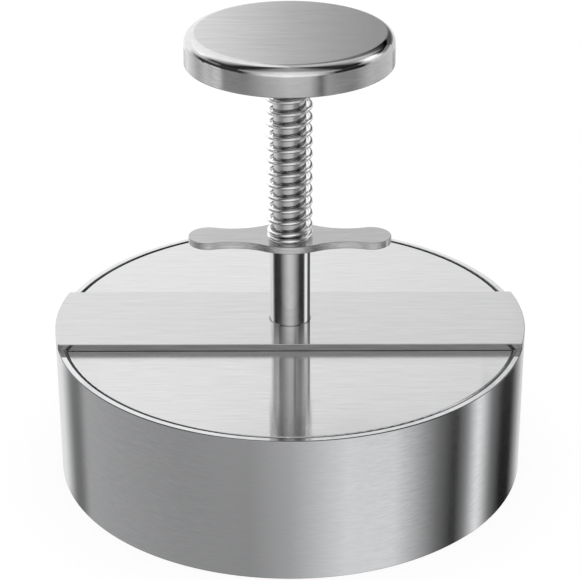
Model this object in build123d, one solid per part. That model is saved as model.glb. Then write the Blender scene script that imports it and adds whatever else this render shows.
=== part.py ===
from build123d import *
import math
import os

# Burger press: a welded steel frame and a plunger that a palm pushes down against a spring.
# Millimetres, +Z up. The origin is the centre of the ring's lower rim, which stands on the table.

# Mould ring: a flat strip rolled round and closed, open above and below
ring_diameter = 117.0
ring_wall = 1.5
ring_height = 37.0
ring_edge_round = 0.2

# Bridge bar: a flat strip across the ring's upper rim, its ends cut to the ring's outside
bar_width = 29.2
bar_thickness = 1.8
bar_edge_round = 0.15
bar_corner_round = 0.5
bar_hole_chamfer = 0.2

# Push rod and the guide tube that it slides in
rod_diameter = 8.0
rod_running_gap = 0.08
tube_wall = 0.92
tube_end_round = 0.15

# Finger plate: two lobes for the fingers, joined by slim waists to a bulge round the tube
finger_room = 20.8
finger_thickness = 1.8
finger_lobe_offset = 20.0
finger_lobe_radius = 4.9
finger_waist_offset = 14.0
finger_waist_radius = 17.0
finger_bulge_radius = 13.3
finger_edge_round = 0.15

# Return spring: round wire, its ends closed and ground flat, as it is fitted
spring_wire = 1.1
spring_rod_gap = 0.5
spring_length = 45.0
spring_turns = 16
spring_closed_turns = 1.0
spring_opening_turns = 0.5
spring_closed_gap = 0.05
spring_points_per_turn = 12

# Knob: a turned disc, screwed on the rod's upper end
knob_diameter = 50.0
knob_thickness = 7.5
knob_top_round = 2.5
knob_bottom_round = 0.3
stud_diameter = 6.0
stud_length = 4.6
stud_chamfer = 0.5
stud_end_room = 0.4

# Press plate: the flat disc that fills the ring
plate_rim_gap = 0.6
plate_thickness = 2.0
plate_edge_round = 0.25
plate_bar_gap = 0.1

# Countersunk screw that holds the press plate to the rod from below
screw_diameter = 4.0
screw_length = 12.0
screw_head_diameter = 7.5
screw_head_land = 0.2
screw_tip_chamfer = 0.4
screw_end_room = 1.5
recess_width = 0.9
recess_span = 4.0
recess_depth = 1.3
recess_taper = 8.0

# Clearance round what is welded or screwed in
joint_gap = 0.05

# Levels, worked out from the sizes above
bar_top = ring_height + bar_thickness
finger_bottom = bar_top + finger_room
finger_top = finger_bottom + finger_thickness
knob_bottom = finger_top + spring_length
plate_top = ring_height - plate_bar_gap
plate_bottom = plate_top - plate_thickness

# Radii, worked out from the sizes above
ring_radius = ring_diameter / 2
ring_inner_radius = ring_radius - ring_wall
tube_inner_radius = rod_diameter / 2 + rod_running_gap
tube_radius = tube_inner_radius + tube_wall
spring_radius = rod_diameter / 2 + spring_rod_gap + spring_wire / 2


def disc(radius, bottom, height):
    """A plain disc on the press's axis, from its lower face up."""
    return Pos(0, 0, bottom) * Cylinder(radius, height, align=(Align.CENTER, Align.CENTER, Align.MIN))


def hoop(inner_radius, wall, bottom, height, edge_round):
    """A round wall on the press's axis, with softened edges."""
    section = RectangleRounded(wall, height, edge_round)
    return revolve(Plane.XZ * Pos(inner_radius + wall / 2, bottom + height / 2) * section, Axis.Z)


def soft_sheet(outline, bottom, thickness, edge_round):
    """A flat sheet of the outline, its upper and lower edges softened."""
    sheet = extrude(Pos(0, 0, bottom) * outline, thickness)
    return fillet(sheet.edges().filter_by(Plane.XY), edge_round)


def mould_ring():
    return hoop(ring_inner_radius, ring_wall, 0, ring_height, ring_edge_round)


def bridge_bar():
    """The strip lies on the rim, and the tube's foot goes through a hole with a softened edge."""
    outline = Circle(ring_radius) & Rectangle(ring_diameter, bar_width)
    outline = fillet(outline.vertices(), bar_corner_round)
    bar = soft_sheet(outline, ring_height, bar_thickness, bar_edge_round)
    bar = bar - disc(tube_radius + joint_gap, ring_height, bar_thickness)
    return chamfer(bar.faces().sort_by(Axis.Z)[-1].inner_wires()[0].edges(), bar_hole_chamfer)


def guide_tube():
    """From the bar's underside to the finger plate's upper face, flush with both."""
    return hoop(tube_inner_radius, tube_wall, ring_height, finger_top - ring_height, tube_end_round)


def finger_outline():
    """Arcs that are each tangent to the next: lobes, waists and bulges, the same on all four quarters."""
    lobe_reach = finger_lobe_radius + finger_waist_radius
    bulge_reach = finger_bulge_radius + finger_waist_radius
    waist_y = math.sqrt(lobe_reach**2 - (finger_lobe_offset - finger_waist_offset) ** 2)
    bulge_y = waist_y - math.sqrt(bulge_reach**2 - finger_waist_offset**2)
    lobe = Vector(finger_lobe_offset, 0)
    waist = Vector(finger_waist_offset, waist_y)
    bulge = Vector(0, bulge_y)
    lobe_end = lobe + (waist - lobe) * (finger_lobe_radius / lobe_reach)
    bulge_end = bulge + (waist - bulge) * (finger_bulge_radius / bulge_reach)
    crown = bulge + Vector(0, finger_bulge_radius)
    tip = lobe + Vector(finger_lobe_radius, 0)
    quarter = Curve() + [
        RadiusArc(crown, bulge_end, finger_bulge_radius),
        RadiusArc(bulge_end, lobe_end, -finger_waist_radius),
        RadiusArc(lobe_end, tip, finger_lobe_radius),
    ]
    half = quarter + mirror(quarter, Plane.XZ)
    return make_face(half + mirror(half, Plane.YZ))


def finger_plate():
    """The tube's upper end goes through the plate, which the spring stands on."""
    plate = soft_sheet(finger_outline(), finger_bottom, finger_thickness, finger_edge_round)
    return plate - disc(tube_radius + joint_gap, finger_bottom, finger_thickness)


def wire_rise(turn):
    """Height of the wire's centre over its lower seat: closed end turns, opening turns, open turns."""
    closed_pitch = spring_wire + spring_closed_gap
    end_turns = 2 * spring_closed_turns + spring_opening_turns
    open_pitch = (spring_length - end_turns * closed_pitch) / (spring_turns - end_turns)
    if turn > spring_turns / 2:
        return spring_length - wire_rise(spring_turns - turn)
    opening = min(max(turn - spring_closed_turns, 0), spring_opening_turns)
    past_opening = max(turn - spring_closed_turns - spring_opening_turns, 0)
    extra = (open_pitch - closed_pitch) * (opening**2 / (2 * spring_opening_turns) + past_opening)
    return turn * closed_pitch + extra


def return_spring():
    """One round wire swept up a right-handed coil from behind the rod, then ground flat at both ends."""
    points = []
    for step in range(spring_turns * spring_points_per_turn + 1):
        turn = step / spring_points_per_turn
        angle = math.pi / 2 + 2 * math.pi * turn
        x, y = spring_radius * math.cos(angle), spring_radius * math.sin(angle)
        points.append((x, y, finger_top + wire_rise(turn)))
    coil = Spline(points)
    wire = sweep(Plane(coil @ 0, z_dir=coil % 0) * Circle(spring_wire / 2), coil, is_frenet=True)
    return wire & disc(spring_radius + spring_wire, finger_top, spring_length)


def screw_form(gap, end_room):
    """The plate screw with its head down, or with a gap the room that it needs."""
    radius = screw_diameter / 2 + gap
    head_radius = screw_head_diameter / 2 + gap
    tip = screw_length + end_room
    profile = Polyline(
        (0, 0),
        (head_radius, 0),
        (head_radius, screw_head_land),
        (radius, screw_head_land + head_radius - radius),
        (radius, tip - screw_tip_chamfer),
        (radius - screw_tip_chamfer, tip),
        (0, tip),
        close=True,
    )
    return Pos(0, 0, plate_bottom) * revolve(Plane.XZ * make_face(profile), Axis.Z)


def plate_screw():
    """Its head is flush with the plate's lower face and has a tapered cross recess."""
    cross = Rectangle(recess_span, recess_width) + Rectangle(recess_width, recess_span)
    recess = extrude(Pos(0, 0, plate_bottom) * cross, recess_depth, taper=recess_taper)
    return screw_form(0, 0) - recess


def press_plate():
    outline = Circle(ring_inner_radius - plate_rim_gap)
    return soft_sheet(outline, plate_bottom, plate_thickness, plate_edge_round) - screw_form(joint_gap, 0)


def push_rod():
    """Its foot stands on the press plate and is tapped for the screw, and its stud goes into the knob."""
    rod = disc(rod_diameter / 2, plate_top, knob_bottom - plate_top)
    stud = chamfer(disc(stud_diameter / 2, knob_bottom, stud_length).edges().sort_by(Axis.Z)[-1], stud_chamfer)
    return rod + stud - screw_form(joint_gap, screw_end_room)


def knob():
    """The knob's lower face rests on the rod's shoulder and holds the spring down."""
    section = Pos(knob_diameter / 4, knob_bottom + knob_thickness / 2) * Rectangle(knob_diameter / 2, knob_thickness)
    rim = section.vertices().group_by(Axis.X)[-1].sort_by(Axis.Y)
    section = fillet(rim[-1], knob_top_round)
    rim = section.vertices().filter_by(lambda v: v.X > knob_diameter / 4).sort_by(Axis.Y)
    section = fillet(rim[0], knob_bottom_round)
    turned = revolve(Plane.XZ * section, Axis.Z)
    return turned - disc(stud_diameter / 2 + joint_gap, knob_bottom, stud_length + stud_end_room)


pieces = [
    mould_ring,
    bridge_bar,
    guide_tube,
    finger_plate,
    return_spring,
    push_rod,
    press_plate,
    plate_screw,
    knob,
]

os.makedirs("parts", exist_ok=True)
for piece in pieces:
    export_step(piece(), f"parts/{piece.__name__}.step")
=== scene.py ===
import math

import bpy
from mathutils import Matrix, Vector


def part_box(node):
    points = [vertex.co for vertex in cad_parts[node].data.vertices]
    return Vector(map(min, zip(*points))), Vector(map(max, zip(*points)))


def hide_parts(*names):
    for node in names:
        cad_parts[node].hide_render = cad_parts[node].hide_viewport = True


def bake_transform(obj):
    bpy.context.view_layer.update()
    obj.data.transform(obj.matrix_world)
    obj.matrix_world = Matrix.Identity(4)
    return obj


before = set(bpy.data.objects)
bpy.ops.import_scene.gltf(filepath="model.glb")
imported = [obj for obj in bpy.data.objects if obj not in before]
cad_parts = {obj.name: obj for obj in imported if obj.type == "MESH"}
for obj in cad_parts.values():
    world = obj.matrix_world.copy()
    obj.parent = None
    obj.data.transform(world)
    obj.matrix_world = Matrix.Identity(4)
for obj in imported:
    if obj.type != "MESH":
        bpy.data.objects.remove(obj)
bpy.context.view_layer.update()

# Camera, in metres and degrees, as fitted to the edges seen in the photograph
camera_place = (0.0, -0.4566, 0.2689)
camera_tilt = 64.02
camera_roll = -0.12
camera_lens = 126.76
camera_sensor = 36

# Studio that the steel mirrors: brightness by azimuth in degrees, 0 towards the camera and
# 90 to its right. Each list is a band of heights, from below the horizon to overhead.
low_studio = [
    (-180, 0.90),
    (-150, 0.90),
    (-135, 0.20),
    (-127, 0.18),
    (-119, 0.48),
    (-20, 0.33),
    (0, 0.46),
    (28, 0.92),
    (52, 0.94),
    (76, 0.22),
    (88, 0.00),
    (96, 0.24),
    (105, 1.15),
    (116, 0.22),
    (127, 0.00),
    (140, 0.00),
    (159, 0.75),
    (180, 0.90),
]
rod_studio = [
    (-180, 0.00),
    (-162, 0.05),
    (-153, 0.90),
    (-110, 0.90),
    (-80, 0.48),
    (-55, 0.38),
    (-35, 0.62),
    (0, 0.87),
    (18, 0.80),
    (35, 0.40),
    (65, 0.30),
    (90, 0.80),
    (145, 0.90),
    (154, 0.00),
    (180, 0.00),
]
level_studio = [
    (-180, 1.10),
    (-132, 1.25),
    (-119, 0.45),
    (-108, 0.05),
    (-50, 0.04),
    (-26, 1.10),
    (0, 1.40),
    (26, 1.10),
    (50, 0.04),
    (84, 0.01),
    (98, 0.80),
    (150, 0.80),
    (180, 1.10),
]
side_studio = [
    (-180, 1.22),
    (-135, 1.30),
    (-113, 0.85),
    (-98, 0.30),
    (-84, 0.30),
    (-78, 0.05),
    (-58, 0.05),
    (-50, 0.50),
    (-15, 1.05),
    (0, 1.20),
    (18, 1.02),
    (50, 0.50),
    (58, 0.05),
    (78, 0.05),
    (86, 0.55),
    (100, 1.30),
    (114, 1.20),
    (124, 0.30),
    (165, 0.30),
    (173, 1.10),
    (180, 1.22),
]
middle_studio = [
    (-180, 1.22),
    (-150, 1.35),
    (-127, 1.45),
    (-120, 1.75),
    (-113, 1.00),
    (-98, 0.00),
    (-54, 0.03),
    (-15, 1.05),
    (0, 1.20),
    (18, 1.02),
    (54, 0.02),
    (86, 0.00),
    (92, 1.00),
    (100, 2.10),
    (114, 1.90),
    (122, 0.00),
    (168, 0.00),
    (173, 1.10),
    (180, 1.22),
]
top_studio = [
    (-180, 0.70),
    (-165, 1.20),
    (-125, 1.35),
    (-92, 0.55),
    (-70, 0.03),
    (-46, 0.03),
    (-25, 0.38),
    (0, 0.52),
    (25, 0.40),
    (50, 0.03),
    (74, 0.05),
    (96, 0.50),
    (130, 0.80),
    (180, 0.70),
]
# Each band over the lowest one, and the sines of the heights between which it fades in
studio_bands = [
    (rod_studio, -0.43, -0.40),
    (level_studio, -0.345, -0.325),
    (side_studio, 0.14, 0.19),
    (middle_studio, 0.37, 0.39),
    (top_studio, 0.42, 0.75),
]
# What matt surfaces get from everywhere, and what the camera sees behind the press
white = (1.0, 1.0, 1.0, 1)

# Curtain round the front, for the knob's side to mirror: brightness by azimuth, as above
curtain_radius = 0.070
curtain_low = 0.076
curtain_high = 0.104
curtain_half = 130
curtain_step = 2
curtain_studio = [
    (-127, 1.10),
    (-98, 0.56),
    (-85, 0.86),
    (-79, 0.72),
    (-73, 0.95),
    (-67, 0.85),
    (-63, 0.36),
    (-38, 0.34),
    (-12, 0.58),
    (0, 0.70),
    (17, 0.62),
    (28, 0.03),
    (34, 0.42),
    (60, 0.38),
    (80, 0.65),
    (127, 0.80),
]

# Shade behind the press, for the knob's top to mirror, and the share of the light that it lets
# through at some places along X
shade_y = 0.070
shade_half_width = 0.085
shade_low = 0.118
shade_high = 0.260
shade_stops = [(-0.026, 1.00), (0.0, 0.62), (0.012, 0.49), (0.024, 0.39)]

# Floor
floor_size = 6.0
floor_shade = 0.15
floor_white = 1.02

# Return spring, with the turns and the wire of the CAD's spring
spring_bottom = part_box("return_spring")[0].z
spring_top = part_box("return_spring")[1].z
spring_length = spring_top - spring_bottom
wire_radius = 0.00055
coil_radius = 0.00505
spring_turns = 16
closed_turns = 1.0
opening_turns = 0.5
closed_pitch = 0.00115
steps_per_turn = 48
section_points = 20
sharp_angle = 40

# Knob's polished edge, between its flat top and its side
knob_round = 0.0025
knob_flat_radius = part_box("knob")[1].x - knob_round
knob_edge_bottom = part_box("knob")[1].z - knob_round
knob_fade = 0.0001
knob_edge_roughness = 0.06
knob_top_tone = 0.97

# Brushing: length and width of its lines, and of the broader tones that they lie in
straight_line = (0.009, 0.0003)
straight_tone = (0.040, 0.0014)
round_line = (0.0028, 0.00036)
round_tone = (0.016, 0.0014)
tone_share = 0.18

# Values of the noise between which the brushing goes from dark to light, on faces and cut edges
face_contrast = (0.3, 0.7)
cut_contrast = (0.35, 0.65)

# Share of the light that a flat brushed face mirrors. It scatters the rest all round.
brushed_gloss = 0.93

# How much of the surface's normal points up or down, where a wall ends and is no more, and
# where a corner begins and is complete
sheet_slopes = (0.15, 0.35, 0.99, 0.90)
strip_slopes = (0.05, 0.20, 0.99, 0.93)
sheet_corner_roughness = 0.08
# Painted shade: the ring rim's rounded corners are darkened to this share of the ring's colour
strip_corner_painted_shade = 0.3

# Polished bar and wire: cells of the drawing lines and of the wipe marks
drawing_line = (0.0016, 0.0016, 0.0004)
wipe_mark = (0.006, 0.006, 0.006)

# Heights of the bump that the lines make
sheet_bump = 0.0000025
strip_bump = 0.0000035
knob_bump = 0.000003
polish_bump = 0.000002


def add(tree, kind, inputs=None, **settings):
    """A new node: its settings, and each input either set or linked to another node's output."""
    node = tree.nodes.new(kind)
    for name, value in settings.items():
        setattr(node, name, value)
    for name, value in (inputs or {}).items():
        join(tree, value, node.inputs[name])
    return node


def join(tree, value, socket):
    """Links a socket to another one, or sets its value."""
    if isinstance(value, bpy.types.NodeSocket):
        tree.links.new(value, socket)
    else:
        socket.default_value = value


def sum_up(tree, operation, first, second=0.0, third=0.0):
    """One step of arithmetic on numbers."""
    return add(tree, "ShaderNodeMath", {0: first, 1: second, 2: third}, operation=operation).outputs[0]


def combine(tree, operation, first, second):
    """One step of arithmetic on vectors."""
    node = add(tree, "ShaderNodeVectorMath", {0: first, 1: second}, operation=operation)
    return node.outputs["Vector"]


def split(tree, vector):
    """The three numbers of a vector."""
    return add(tree, "ShaderNodeSeparateXYZ", {"Vector": vector}).outputs


def mix(tree, factor, first, second, data_type="FLOAT"):
    """A mix of two numbers, vectors or colours."""
    node = add(tree, "ShaderNodeMix", data_type=data_type)
    places = {"FLOAT": (0, 2, 3, 0), "VECTOR": (0, 4, 5, 1), "RGBA": (0, 6, 7, 2)}[data_type]
    join(tree, factor, node.inputs[places[0]])
    join(tree, first, node.inputs[places[1]])
    join(tree, second, node.inputs[places[2]])
    return node.outputs[places[3]]


def step_up(tree, value, low, high, first=0.0, second=1.0):
    """A smooth change from one value to another."""
    inputs = {"Value": value, "From Min": low, "From Max": high, "To Min": first, "To Max": second}
    return add(tree, "ShaderNodeMapRange", inputs, interpolation_type="SMOOTHSTEP").outputs["Result"]


def ramp(tree, factor, stops):
    """Brightness by a number from 0 to 1."""
    node = add(tree, "ShaderNodeValToRGB", {"Fac": factor})
    elements = node.color_ramp.elements
    while len(elements) < len(stops):
        elements.new(0.5)
    for element, (place, level) in zip(elements, stops):
        element.position = place
        element.color = (level, level, level, 1)
    return node.outputs["Color"]


def round_the_object(tree, direction, stops):
    """Brightness by azimuth."""
    axes = split(tree, direction)
    backwards = sum_up(tree, "MULTIPLY", axes["Y"], -1.0)
    azimuth = sum_up(tree, "ARCTAN2", axes["X"], backwards)
    share = sum_up(tree, "MULTIPLY_ADD", azimuth, 1 / (2 * math.pi), 0.5)
    return ramp(tree, share, [((degrees + 180) / 360, level) for degrees, level in stops])


def new_material(name):
    """An empty material and its node tree."""
    material = bpy.data.materials.new(name)
    material.use_nodes = True
    material.node_tree.nodes.clear()
    return material, material.node_tree


def finish(tree, shader, kind="ShaderNodeOutputMaterial"):
    """Sends a shader to the output."""
    output = add(tree, kind)
    tree.links.new(shader, output.inputs["Surface"])


def new_object(name, points, faces, material):
    """A mesh object in the scene."""
    mesh = bpy.data.meshes.new(name)
    mesh.from_pydata(points, [], faces)
    mesh.materials.append(material)
    obj = bpy.data.objects.new(name, mesh)
    bpy.context.scene.collection.objects.link(obj)
    return obj


def studio_world():
    """White to the camera, an even white light on what is matt, and a studio for what mirrors."""
    world = bpy.data.worlds.new("studio")
    world.use_nodes = True
    bpy.context.scene.world = world
    tree = world.node_tree
    tree.nodes.clear()
    direction = add(tree, "ShaderNodeTexCoord").outputs["Generated"]
    height = split(tree, direction)["Z"]
    studio = round_the_object(tree, direction, low_studio)
    for stops, start, end in studio_bands:
        band = round_the_object(tree, direction, stops)
        studio = mix(tree, step_up(tree, height, start, end), studio, band, "RGBA")
    path = add(tree, "ShaderNodeLightPath").outputs
    colour = mix(tree, path["Is Glossy Ray"], white, studio, "RGBA")
    colour = mix(tree, path["Is Camera Ray"], colour, white, "RGBA")
    background = add(tree, "ShaderNodeBackground", {"Color": colour, "Strength": 1.0})
    finish(tree, background.outputs["Background"], "ShaderNodeOutputWorld")


def one_sided(tree, front):
    """A shader for the front, with nothing behind."""
    clear = add(tree, "ShaderNodeBsdfTransparent").outputs["BSDF"]
    back = add(tree, "ShaderNodeNewGeometry").outputs["Backfacing"]
    return add(tree, "ShaderNodeMixShader", {0: back, 1: front, 2: clear}).outputs["Shader"]


def floor():
    """A white floor that keeps a faint shadow and can't be seen from below."""
    material, tree = new_material("floor_white")
    shade = (floor_shade, floor_shade, floor_shade, 1)
    matt = add(tree, "ShaderNodeBsdfDiffuse", {"Color": shade}).outputs["BSDF"]
    seen = add(tree, "ShaderNodeLightPath").outputs["Is Camera Ray"]
    level = sum_up(tree, "MULTIPLY", seen, floor_white - floor_shade)
    glow = add(tree, "ShaderNodeEmission", {"Strength": level}).outputs["Emission"]
    lit = add(tree, "ShaderNodeAddShader", {0: matt, 1: glow}).outputs["Shader"]
    finish(tree, one_sided(tree, lit))
    half = floor_size / 2
    corners = [(-half, -half, 0), (half, -half, 0), (half, half, 0), (-half, half, 0)]
    obj = new_object("floor", corners, [(0, 1, 2, 3)], material)
    obj.visible_glossy = False


def card(name, points, faces, material):
    """A studio card that only reflections show."""
    obj = new_object(name, points, faces, material)
    obj.visible_camera = False
    obj.visible_diffuse = False
    obj.visible_shadow = False


def curtain():
    """Seen from inside, round the front of the press, at the height that the knob's side mirrors."""
    material, tree = new_material("curtain")
    place = add(tree, "ShaderNodeTexCoord").outputs["Object"]
    colour = round_the_object(tree, place, curtain_studio)
    glow = add(tree, "ShaderNodeEmission", {"Color": colour, "Strength": 1.0}).outputs["Emission"]
    finish(tree, one_sided(tree, glow))
    points = []
    for degrees in range(-curtain_half, curtain_half + 1, curtain_step):
        x = curtain_radius * math.sin(math.radians(degrees))
        y = -curtain_radius * math.cos(math.radians(degrees))
        points += [(x, y, curtain_low), (x, y, curtain_high)]
    faces = [(i, i + 1, i + 3, i + 2) for i in range(0, len(points) - 2, 2)]
    card("curtain", points, faces, material)


def knob_shade():
    """Stands behind the press and takes light away, more towards its right."""
    material, tree = new_material("knob_shade")
    place = split(tree, add(tree, "ShaderNodeTexCoord").outputs["Object"])["X"]
    half = shade_half_width
    share = sum_up(tree, "MULTIPLY_ADD", place, 0.5 / half, 0.5)
    let_through = ramp(tree, share, [(0.5 + 0.5 * x / half, level) for x, level in shade_stops])
    finish(tree, add(tree, "ShaderNodeBsdfTransparent", {"Color": let_through}).outputs["BSDF"])
    sides = [(-half, shade_low), (half, shade_low), (half, shade_high), (-half, shade_high)]
    card("knob_shade", [(x, shade_y, z) for x, z in sides], [(0, 1, 2, 3)], material)


def to_world(tree, vector):
    """A direction in the object's frame, turned with the object."""
    settings = {"vector_type": "VECTOR", "convert_from": "OBJECT", "convert_to": "WORLD"}
    return add(tree, "ShaderNodeVectorTransform", {"Vector": vector}, **settings).outputs["Vector"]


def surface(tree):
    """Where a point is in its object, and which way the surface faces there."""
    place = add(tree, "ShaderNodeTexCoord").outputs["Object"]
    normal = add(tree, "ShaderNodeNewGeometry").outputs["Normal"]
    return place, normal


def noise(tree, place, cell, detail=3.0):
    """Noise in cells of a size along each axis."""
    stretched = combine(tree, "MULTIPLY", place, tuple(1 / size for size in cell))
    inputs = {"Vector": stretched, "Scale": 1.0, "Detail": detail}
    return add(tree, "ShaderNodeTexNoise", inputs).outputs["Fac"]


def grain(tree, place, line_cell, tone_cell):
    """Brushing lines, and a little of the broader tones that they lie in."""
    fine = noise(tree, place, line_cell)
    broad = noise(tree, place, tone_cell)
    return mix(tree, tone_share, fine, broad)


def straight_grain(tree, place):
    """Brushing along X: its direction and its lines."""
    (line, line_width), (tone, tone_width) = straight_line, straight_tone
    lines = grain(tree, place, (line, line_width, line_width), (tone, tone_width, tone_width))
    return to_world(tree, (1, 0, 0)), lines


def round_grain(tree, place):
    """Brushing round the Z axis: its direction and its lines."""
    (line, line_width), (tone, tone_width) = round_line, round_tone
    lines = grain(tree, place, (line, line, line_width), (tone, tone, tone_width))
    return to_world(tree, combine(tree, "CROSS_PRODUCT", (0, 0, 1), place)), lines


def walls_and_corners(tree, normal, slopes):
    """The share of upright wall and that of softened corner, by how the surface slopes."""
    wall_start, wall_end, corner_start, corner_end = slopes
    upright = sum_up(tree, "ABSOLUTE", split(tree, normal)["Z"])
    wall = step_up(tree, upright, wall_start, wall_end, 1.0, 0.0)
    steep = step_up(tree, upright, corner_end, corner_start, 1.0, 0.0)
    return wall, sum_up(tree, "SUBTRACT", steep, wall)


def metal(tree, colour, tone, rough, lift, lift_height, tangent=None, gloss=1.0):
    """The steel itself: a colour with a tone on it, roughness, a bump and the share that mirrors."""
    tinted = add(tree, "ShaderNodeVectorMath", {0: colour, "Scale": tone}, operation="SCALE")
    bump = add(tree, "ShaderNodeBump", {"Height": lift, "Strength": 1.0, "Distance": lift_height})
    inputs = {
        "Base Color": tinted.outputs["Vector"],
        "Metallic": gloss,
        "Roughness": rough,
        "Normal": bump.outputs["Normal"],
    }
    if tangent is not None:
        inputs["Anisotropic"] = 1.0
        inputs["Tangent"] = tangent
    return add(tree, "ShaderNodeBsdfPrincipled", inputs).outputs["BSDF"]


def brushed_sheet(name, colour, roughness, edge_tone, edge_roughness):
    """Sheet steel brushed along X on its faces, with other cut edges and bright broken corners."""
    material, tree = new_material(name)
    place, normal = surface(tree)
    along, lines = straight_grain(tree, place)
    across = combine(tree, "CROSS_PRODUCT", normal, along)
    edge, corner = walls_and_corners(tree, normal, sheet_slopes)
    face_tone = step_up(tree, lines, *face_contrast, 0.95, 1.04)
    cut_tone = step_up(tree, lines, *cut_contrast, edge_tone * 0.87, edge_tone * 1.13)
    tone = mix(tree, edge, face_tone, cut_tone)
    rough = step_up(tree, lines, *face_contrast, roughness * 1.08, roughness * 0.92)
    rough = mix(tree, edge, rough, edge_roughness)
    rough = mix(tree, corner, rough, sheet_corner_roughness)
    finish(tree, metal(tree, colour, tone, rough, lines, sheet_bump, across, brushed_gloss))
    return material


def rolled_strip(name, colour, roughness):
    """Strip steel brushed along its length and rolled to a ring, with painted shade that darkens its
    rim's rounded corners.
    """
    material, tree = new_material(name)
    place, normal = surface(tree)
    along, lines = round_grain(tree, place)
    across = combine(tree, "CROSS_PRODUCT", normal, along)
    corner = walls_and_corners(tree, normal, strip_slopes)[1]
    tone = step_up(tree, lines, *face_contrast, 0.96, 1.03)
    # Painted shade darkens the rim's rounded corners
    tone = sum_up(tree, "MULTIPLY", tone, mix(tree, corner, 1.0, strip_corner_painted_shade))
    rough = step_up(tree, lines, *face_contrast, roughness * 1.1, roughness * 0.9)
    finish(tree, metal(tree, colour, tone, rough, lines, strip_bump, across))
    return material


def turned_knob(name, colour, roughness):
    """Brushed straight on top and round the side, with a polished edge between them."""
    material, tree = new_material(name)
    place, normal = surface(tree)
    level = combine(tree, "MULTIPLY", place, (1, 1, 0))
    radius = add(tree, "ShaderNodeVectorMath", {0: level}, operation="LENGTH").outputs["Value"]
    height = split(tree, place)["Z"]
    outside = step_up(tree, radius, knob_flat_radius - 2 * knob_fade, knob_flat_radius + knob_fade)
    above = step_up(tree, height, knob_edge_bottom - knob_fade, knob_edge_bottom + knob_fade)
    polished = sum_up(tree, "MULTIPLY", outside, above)
    top_along, top_lines = straight_grain(tree, place)
    side_along, side_lines = round_grain(tree, place)
    along = mix(tree, outside, top_along, side_along, "VECTOR")
    lines = mix(tree, outside, top_lines, side_lines)
    across = combine(tree, "CROSS_PRODUCT", normal, along)
    tone = step_up(tree, lines, *face_contrast, 0.95, 1.04)
    tone = sum_up(tree, "MULTIPLY", tone, mix(tree, outside, knob_top_tone, 1.0))
    rough = step_up(tree, lines, *face_contrast, roughness * 1.1, roughness * 0.9)
    rough = mix(tree, polished, rough, knob_edge_roughness)
    lift = sum_up(tree, "MULTIPLY", lines, sum_up(tree, "SUBTRACT", 1.0, polished))
    gloss = mix(tree, outside, brushed_gloss, 1.0)
    finish(tree, metal(tree, colour, tone, rough, lift, knob_bump, across, gloss))
    return material


def polished_bar(name, colour, roughness):
    """Bright steel with faint drawing lines and wipe marks."""
    material, tree = new_material(name)
    place = surface(tree)[0]
    lines = noise(tree, place, drawing_line)
    cloud = noise(tree, place, wipe_mark)
    tone = step_up(tree, cloud, *face_contrast, 0.96, 1.02)
    marks = sum_up(tree, "ADD", lines, cloud)
    rough = step_up(tree, marks, 0.6, 1.4, roughness * 0.8, roughness * 1.25)
    finish(tree, metal(tree, colour, tone, rough, lines, polish_bump))
    return material


def wire_rise(turn):
    """Height of the wire's centre over its lower seat, and how much of it is the open coils'."""
    end_turns = 2 * closed_turns + opening_turns
    open_pitch = (spring_length - end_turns * closed_pitch) / (spring_turns - end_turns)
    if turn > spring_turns / 2:
        rise, opened = wire_rise(spring_turns - turn)
        return spring_length - rise, spring_length - spring_turns * closed_pitch - opened
    opening = min(max(turn - closed_turns, 0), opening_turns)
    past_opening = max(turn - closed_turns - opening_turns, 0)
    opened = (open_pitch - closed_pitch) * (opening**2 / (2 * opening_turns) + past_opening)
    return turn * closed_pitch + opened, opened


def wire_slope(turn):
    """Angle at which the wire climbs."""
    start = max(turn - 1 / steps_per_turn, 0)
    end = min(turn + 1 / steps_per_turn, spring_turns)
    climb = wire_rise(end)[0] - wire_rise(start)[0]
    return math.atan2(climb / (end - start), 2 * math.pi * coil_radius)


def wire_section(turn):
    """Points round the wire, cut off at the spring's flat ends."""
    angle = math.pi / 2 + 2 * math.pi * turn
    rise, slope = wire_rise(turn)[0], wire_slope(turn)
    points = []
    for part in range(section_points):
        around = 2 * math.pi * part / section_points
        up = wire_radius * math.sin(around)
        radius = coil_radius + wire_radius * math.cos(around)
        back = up * math.sin(slope)
        x = radius * math.cos(angle) + back * math.sin(angle)
        y = radius * math.sin(angle) - back * math.cos(angle)
        z = spring_bottom + min(max(rise + up * math.cos(slope), 0), spring_length)
        points.append((x, y, z))
    return points


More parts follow.
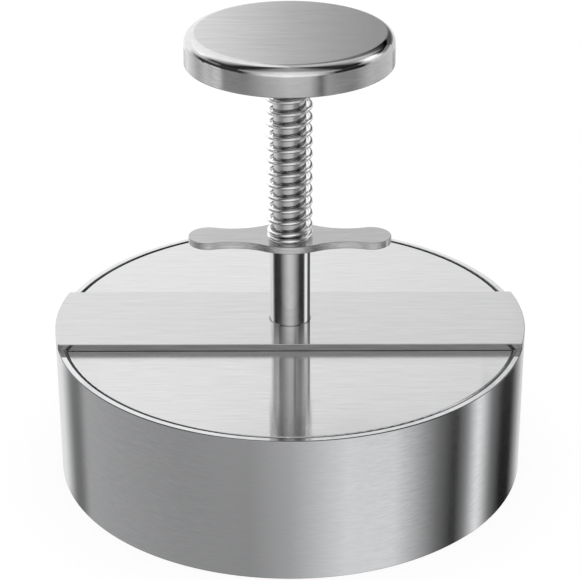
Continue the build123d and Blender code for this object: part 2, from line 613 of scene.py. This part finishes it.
def spring(material):
    """One round wire, ground flat at both ends, in place of the CAD's spring. Each point's share of the
    open coils' rise is worked out but not used.
    """
    points, follow, faces = [], [], []
    all_opened = spring_length - spring_turns * closed_pitch
    count = spring_turns * steps_per_turn
    for step in range(count + 1):
        turn = step / steps_per_turn
        points += wire_section(turn)
        follow += [wire_rise(turn)[1] / all_opened] * section_points
    for step in range(count):
        for part in range(section_points):
            a = step * section_points + part
            b = step * section_points + (part + 1) % section_points
            faces.append((a, b, b + section_points, a + section_points))
    faces.append(tuple(reversed(range(section_points))))
    faces.append(tuple(range(count * section_points, (count + 1) * section_points)))
    obj = new_object("coil_spring", points, faces, material)
    obj.data.set_sharp_from_angle(angle=math.radians(sharp_angle))
    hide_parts("return_spring")
    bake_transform(obj)


def camera():
    """At the photograph's angle."""
    data = bpy.data.cameras.new("camera")
    data.sensor_width = camera_sensor
    data.lens = camera_lens
    obj = bpy.data.objects.new("camera", data)
    obj.location = camera_place
    obj.rotation_mode = "ZXY"
    obj.rotation_euler = (math.radians(camera_tilt), 0, math.radians(camera_roll))
    bpy.context.scene.collection.objects.link(obj)
    bpy.context.scene.camera = obj


def dress(name, material):
    """Gives a CAD node its material."""
    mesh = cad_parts[name].data
    mesh.materials.clear()
    mesh.materials.append(material)


studio_world()
floor()
curtain()
knob_shade()
camera()

# Each finish: its colour and roughness, and for sheets also the tone and roughness of cut edges
dress("mould_ring", rolled_strip("ring_steel", (0.66, 0.665, 0.675), 0.11))
dress("bridge_bar", brushed_sheet("bar_steel", (0.58, 0.58, 0.585), 0.12, 0.45, 0.10))
dress("finger_plate", brushed_sheet("finger_steel", (0.478, 0.478, 0.483), 0.18, 1.2, 0.12))
dress("press_plate", brushed_sheet("plate_steel", (0.64, 0.64, 0.645), 0.12, 0.5, 0.15))
dress("knob", turned_knob("knob_steel", (0.61, 0.61, 0.615), 0.19))
dress("guide_tube", polished_bar("tube_steel", (0.72, 0.72, 0.725), 0.03))
dress("push_rod", polished_bar("rod_steel", (0.55, 0.55, 0.555), 0.04))
dress("plate_screw", polished_bar("screw_steel", (0.66, 0.66, 0.665), 0.08))
spring(polished_bar("wire_steel", (0.85, 0.85, 0.855), 0.025))

# The press plate mirrors the guide tube but not the finger plate, as the photograph shows it
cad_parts["finger_plate"].visible_glossy = False

bpy.context.scene.view_settings.view_transform = "Standard"
